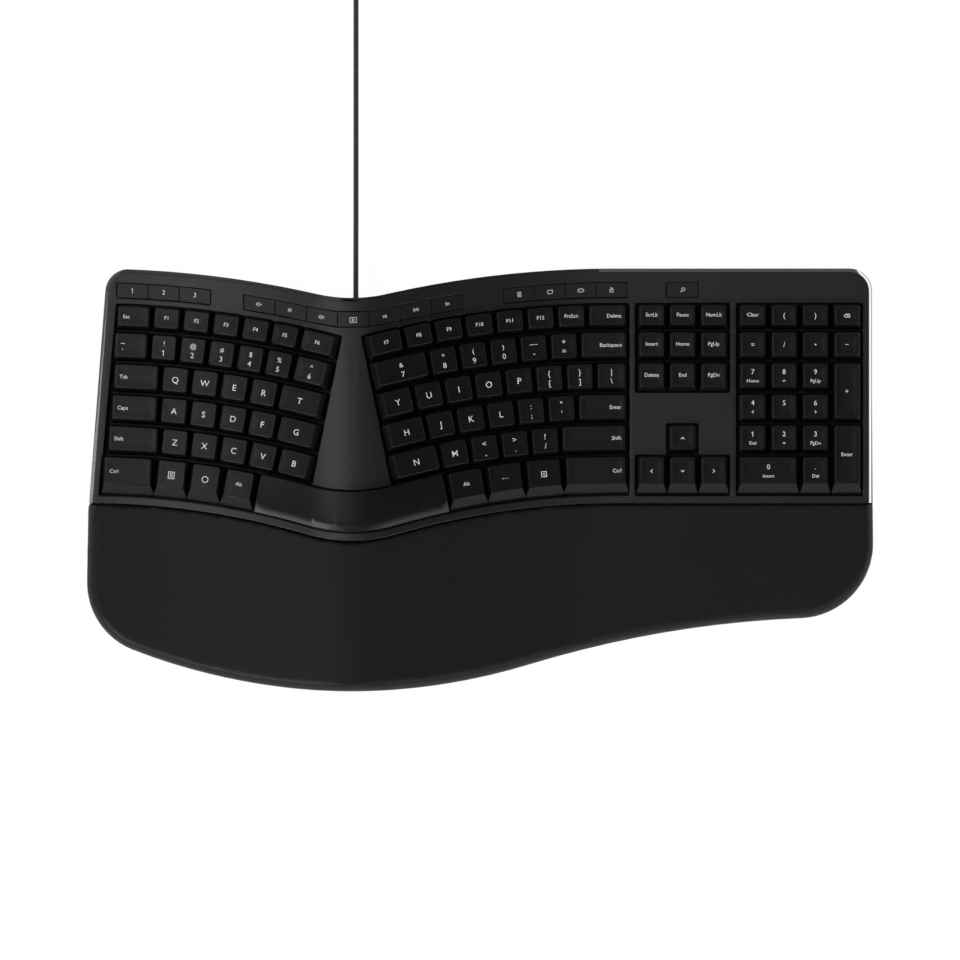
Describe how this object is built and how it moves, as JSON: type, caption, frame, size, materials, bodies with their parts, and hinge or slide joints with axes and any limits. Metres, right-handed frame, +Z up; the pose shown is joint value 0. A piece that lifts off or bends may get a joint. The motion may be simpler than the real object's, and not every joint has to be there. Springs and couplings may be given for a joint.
{
  "type": "ergonomic keyboard",
  "caption": "Split curved desk keyboard with a padded palm rest, number pad, flat media keys, fold-out front legs and a USB lead.",
  "frame": {"origin": "on the desk under the middle of the keyboard's own box, without its lead", "axes": "+X to the typist's right, +Y to the rear where the lead leaves, +Z up"},
  "size_m": [0.484, 0.6388, 0.0396],
  "materials": {
    "housing": "fine matt texture",
    "gloss_band": "polished black",
    "palm_pad": "smooth soft-touch",
    "keycap": "satin black with white legends",
    "flat_key": "fine matt texture with white signs",
    "dome_rubber": "soft silicone",
    "film": "printed film",
    "steel": "plain sheet",
    "board": "coated circuit board",
    "screw": "dark zinc",
    "foot_rubber": "matt",
    "cord": "matt",
    "plug": "satin",
    "plug_shell": "bright"
  },
  "bodies": {
    "chassis": {"bottom_case": "housing", "top_case": "housing", "side_band": "gloss_band", "palm_rest_core": "housing", "palm_rest_pad": "palm_pad", "rubber_domes": "dome_rubber", "membrane": "film", "backing_plate": "steel", "stabiliser_wires": "steel", "controller_board": "board", "hot_key_boards": "board", "cord_gland": "cord", "inner_lead": "cord", "rubber_feet": "foot_rubber", "case_screws": "screw", "leg_pins": "steel", "cord_run": "cord", "cord_coil": "cord", "usb_plug": "plug", "usb_shell": "plug_shell"},
    "key_escape": {"key_escape": "keycap"},
    "keys_left_1": {"keys_left_1": "keycap"},
    "keys_left_2": {"keys_left_2": "keycap"},
    "keys_left_3": {"keys_left_3": "keycap"},
    "keys_left_4": {"keys_left_4": "keycap"},
    "keys_left_5": {"keys_left_5": "keycap"},
    "keys_left_6": {"keys_left_6": "keycap"},
    "key_backquote": {"key_backquote": "keycap"},
    "key_tab": {"key_tab": "keycap"},
    "key_caps_lock": {"key_caps_lock": "keycap"},
    "key_shift_left": {"key_shift_left": "keycap"},
    "key_ctrl_left": {"key_ctrl_left": "keycap"},
    "keys_right_1": {"keys_right_1": "keycap"},
    "keys_right_2": {"keys_right_2": "keycap"},
    "keys_right_3": {"keys_right_3": "keycap"},
    "keys_right_4": {"keys_right_4": "keycap"},
    "keys_right_5": {"keys_right_5": "keycap"},
    "keys_right_6": {"keys_right_6": "keycap"},
    "keys_right_7": {"keys_right_7": "keycap"},
    "key_delete": {"key_delete": "keycap"},
    "key_backspace": {"key_backspace": "keycap"},
    "key_backslash": {"key_backslash": "keycap"},
    "key_enter": {"key_enter": "keycap"},
    "key_shift_right": {"key_shift_right": "keycap"},
    "key_ctrl_right": {"key_ctrl_right": "keycap"},
    "keys_navigation": {"keys_navigation": "keycap"},
    "keys_arrow": {"keys_arrow": "keycap"},
    "keys_pad_top": {"keys_pad_top": "keycap"},
    "keys_pad_digits": {"keys_pad_digits": "keycap"},
    "key_pad_zero": {"key_pad_zero": "keycap"},
    "key_pad_plus": {"key_pad_plus": "keycap"},
    "key_pad_enter": {"key_pad_enter": "keycap"},
    "key_space": {"key_space": "keycap"},
    "hot_keys_left": {"hot_keys_left": "flat_key"},
    "hot_keys_media": {"hot_keys_media": "flat_key"},
    "hot_keys_right": {"hot_keys_right": "flat_key"},
    "leg_left": {"leg_left": "housing"},
    "leg_right": {"leg_right": "housing"}
  },
  "joints": [
    {"name": "press_escape", "type": "slide", "parent": "chassis", "child": "key_escape", "axis": [0.0301, 0, -0.9995], "range_m": [0, 0.0025], "stiffness_N_per_m": 240, "springref_m": -0.0018, "deforming": ["rubber_domes"]},
    {"name": "press_keys_left_1", "type": "slide", "parent": "chassis", "child": "keys_left_1", "axis": [0.0684, 0, -0.9977], "range_m": [0, 0.0025], "stiffness_N_per_m": 240, "springref_m": -0.0018, "deforming": ["rubber_domes"]},
    {"name": "press_keys_left_2", "type": "slide", "parent": "chassis", "child": "keys_left_2", "axis": [0.0996, 0, -0.995], "range_m": [0, 0.0025], "stiffness_N_per_m": 240, "springref_m": -0.0018, "deforming": ["rubber_domes"]},
    {"name": "press_keys_left_3", "type": "slide", "parent": "chassis", "child": "keys_left_3", "axis": [0.1306, 0, -0.9914], "range_m": [0, 0.0025], "stiffness_N_per_m": 240, "springref_m": -0.0018, "deforming": ["rubber_domes"]},
    {"name": "press_keys_left_4", "type": "slide", "parent": "chassis", "child": "keys_left_4", "axis": [0.1593, 0, -0.9872], "range_m": [0, 0.0025], "stiffness_N_per_m": 240, "springref_m": -0.0018, "deforming": ["rubber_domes"]},
    {"name": "press_keys_left_5", "type": "slide", "parent": "chassis", "child": "keys_left_5", "axis": [0.1926, 0, -0.9813], "range_m": [0, 0.0025], "stiffness_N_per_m": 240, "springref_m": -0.0018, "deforming": ["rubber_domes"]},
    {"name": "press_keys_left_6", "type": "slide", "parent": "chassis", "child": "keys_left_6", "axis": [0.1681, 0, -0.9858], "range_m": [0, 0.0025], "stiffness_N_per_m": 240, "springref_m": -0.0018, "deforming": ["rubber_domes"]},
    {"name": "press_backquote", "type": "slide", "parent": "chassis", "child": "key_backquote", "axis": [0.0274, 0, -0.9996], "range_m": [0, 0.0025], "stiffness_N_per_m": 240, "springref_m": -0.0018, "deforming": ["rubber_domes"]},
    {"name": "press_tab", "type": "slide", "parent": "chassis", "child": "key_tab", "axis": [0.0328, 0, -0.9995], "range_m": [0, 0.0025], "stiffness_N_per_m": 240, "springref_m": -0.0018, "deforming": ["rubber_domes"]},
    {"name": "press_caps_lock", "type": "slide", "parent": "chassis", "child": "key_caps_lock", "axis": [0.0309, 0, -0.9995], "range_m": [0, 0.0025], "stiffness_N_per_m": 240, "springref_m": -0.0018, "deforming": ["rubber_domes"]},
    {"name": "press_shift_left", "type": "slide", "parent": "chassis", "child": "key_shift_left", "axis": [0.0297, 0, -0.9996], "range_m": [0, 0.0025], "stiffness_N_per_m": 240, "springref_m": -0.0018, "deforming": ["rubber_domes"]},
    {"name": "press_ctrl_left", "type": "slide", "parent": "chassis", "child": "key_ctrl_left", "axis": [0.0239, 0, -0.9997], "range_m": [0, 0.0025], "stiffness_N_per_m": 240, "springref_m": -0.0018, "deforming": ["rubber_domes"]},
    {"name": "press_keys_right_1", "type": "slide", "parent": "chassis", "child": "keys_right_1", "axis": [-0.2038, 0, -0.979], "range_m": [0, 0.0025], "stiffness_N_per_m": 240, "springref_m": -0.0018, "deforming": ["rubber_domes"]},
    {"name": "press_keys_right_2", "type": "slide", "parent": "chassis", "child": "keys_right_2", "axis": [-0.1663, 0, -0.9861], "range_m": [0, 0.0025], "stiffness_N_per_m": 240, "springref_m": -0.0018, "deforming": ["rubber_domes"]},
    {"name": "press_keys_right_3", "type": "slide", "parent": "chassis", "child": "keys_right_3", "axis": [-0.1355, 0, -0.9908], "range_m": [0, 0.0025], "stiffness_N_per_m": 240, "springref_m": -0.0018, "deforming": ["rubber_domes"]},
    {"name": "press_keys_right_4", "type": "slide", "parent": "chassis", "child": "keys_right_4", "axis": [-0.1031, 0, -0.9947], "range_m": [0, 0.0025], "stiffness_N_per_m": 240, "springref_m": -0.0018, "deforming": ["rubber_domes"]},
    {"name": "press_keys_right_5", "type": "slide", "parent": "chassis", "child": "keys_right_5", "axis": [-0.0705, 0, -0.9975], "range_m": [0, 0.0025], "stiffness_N_per_m": 240, "springref_m": -0.0018, "deforming": ["rubber_domes"]},
    {"name": "press_keys_right_6", "type": "slide", "parent": "chassis", "child": "keys_right_6", "axis": [-0.0465, 0, -0.9989], "range_m": [0, 0.0025], "stiffness_N_per_m": 240, "springref_m": -0.0018, "deforming": ["rubber_domes"]},
    {"name": "press_keys_right_7", "type": "slide", "parent": "chassis", "child": "keys_right_7", "axis": [-0.0241, 0, -0.9997], "range_m": [0, 0.0025], "stiffness_N_per_m": 240, "springref_m": -0.0018, "deforming": ["rubber_domes"]},
    {"name": "press_delete", "type": "slide", "parent": "chassis", "child": "key_delete", "axis": [0, 0, -1], "range_m": [0, 0.0025], "stiffness_N_per_m": 240, "springref_m": -0.0018, "deforming": ["rubber_domes"]},
    {"name": "press_backspace", "type": "slide", "parent": "chassis", "child": "key_backspace", "axis": [0, 0, -1], "range_m": [0, 0.0025], "stiffness_N_per_m": 240, "springref_m": -0.0018, "deforming": ["rubber_domes"]},
    {"name": "press_backslash", "type": "slide", "parent": "chassis", "child": "key_backslash", "axis": [0, 0, -1], "range_m": [0, 0.0025], "stiffness_N_per_m": 240, "springref_m": -0.0018, "deforming": ["rubber_domes"]},
    {"name": "press_enter", "type": "slide", "parent": "chassis", "child": "key_enter", "axis": [0, 0, -1], "range_m": [0, 0.0025], "stiffness_N_per_m": 240, "springref_m": -0.0018, "deforming": ["rubber_domes"]},
    {"name": "press_shift_right", "type": "slide", "parent": "chassis", "child": "key_shift_right", "axis": [-0.0053, 0, -1], "range_m": [0, 0.0025], "stiffness_N_per_m": 240, "springref_m": -0.0018, "deforming": ["rubber_domes"]},
    {"name": "press_ctrl_right", "type": "slide", "parent": "chassis", "child": "key_ctrl_right", "axis": [-0.003, 0, -1], "range_m": [0, 0.0025], "stiffness_N_per_m": 240, "springref_m": -0.0018, "deforming": ["rubber_domes"]},
    {"name": "press_keys_navigation", "type": "slide", "parent": "chassis", "child": "keys_navigation", "axis": [0, 0, -1], "range_m": [0, 0.0025], "stiffness_N_per_m": 240, "springref_m": -0.0018, "deforming": ["rubber_domes"]},
    {"name": "press_keys_arrow", "type": "slide", "parent": "chassis", "child": "keys_arrow", "axis": [0, 0, -1], "range_m": [0, 0.0025], "stiffness_N_per_m": 240, "springref_m": -0.0018, "deforming": ["rubber_domes"]},
    {"name": "press_keys_pad_top", "type": "slide", "parent": "chassis", "child": "keys_pad_top", "axis": [0, 0, -1], "range_m": [0, 0.0025], "stiffness_N_per_m": 240, "springref_m": -0.0018, "deforming": ["rubber_domes"]},
    {"name": "press_keys_pad_digits", "type": "slide", "parent": "chassis", "child": "keys_pad_digits", "axis": [0, 0, -1], "range_m": [0, 0.0025], "stiffness_N_per_m": 240, "springref_m": -0.0018, "deforming": ["rubber_domes"]},
    {"name": "press_pad_zero", "type": "slide", "parent": "chassis", "child": "key_pad_zero", "axis": [0, 0, -1], "range_m": [0, 0.0025], "stiffness_N_per_m": 240, "springref_m": -0.0018, "deforming": ["rubber_domes"]},
    {"name": "press_pad_plus", "type": "slide", "parent": "chassis", "child": "key_pad_plus", "axis": [0, 0, -1], "range_m": [0, 0.0025], "stiffness_N_per_m": 240, "springref_m": -0.0018, "deforming": ["rubber_domes"]},
    {"name": "press_pad_enter", "type": "slide", "parent": "chassis", "child": "key_pad_enter", "axis": [0, 0, -1], "range_m": [0, 0.0025], "stiffness_N_per_m": 240, "springref_m": -0.0018, "deforming": ["rubber_domes"]},
    {"name": "press_space", "type": "slide", "parent": "chassis", "child": "key_space", "axis": [0, 0, -1], "range_m": [0, 0.0025], "stiffness_N_per_m": 240, "springref_m": -0.0018, "deforming": ["rubber_domes"]},
    {"name": "press_hot_keys_left", "type": "slide", "parent": "chassis", "child": "hot_keys_left", "axis": [0, 0, -1], "range_m": [0, 0.0006], "stiffness_N_per_m": 400, "springref_m": -0.001},
    {"name": "press_hot_keys_media", "type": "slide", "parent": "chassis", "child": "hot_keys_media", "axis": [0, 0, -1], "range_m": [0, 0.0006], "stiffness_N_per_m": 400, "springref_m": -0.001},
    {"name": "press_hot_keys_right", "type": "slide", "parent": "chassis", "child": "hot_keys_right", "axis": [0, 0, -1], "range_m": [0, 0.0006], "stiffness_N_per_m": 400, "springref_m": -0.001},
    {"name": "leg_left_fold", "type": "hinge", "parent": "chassis", "child": "leg_left", "pos_m": [-0.18, -0.088, 0.0033], "axis": [-1, 0, 0], "range_deg": [0, 95]},
    {"name": "leg_right_fold", "type": "hinge", "parent": "chassis", "child": "leg_right", "pos_m": [0.17, -0.062, 0.0033], "axis": [-1, 0, 0], "range_deg": [0, 95]}
  ]
}
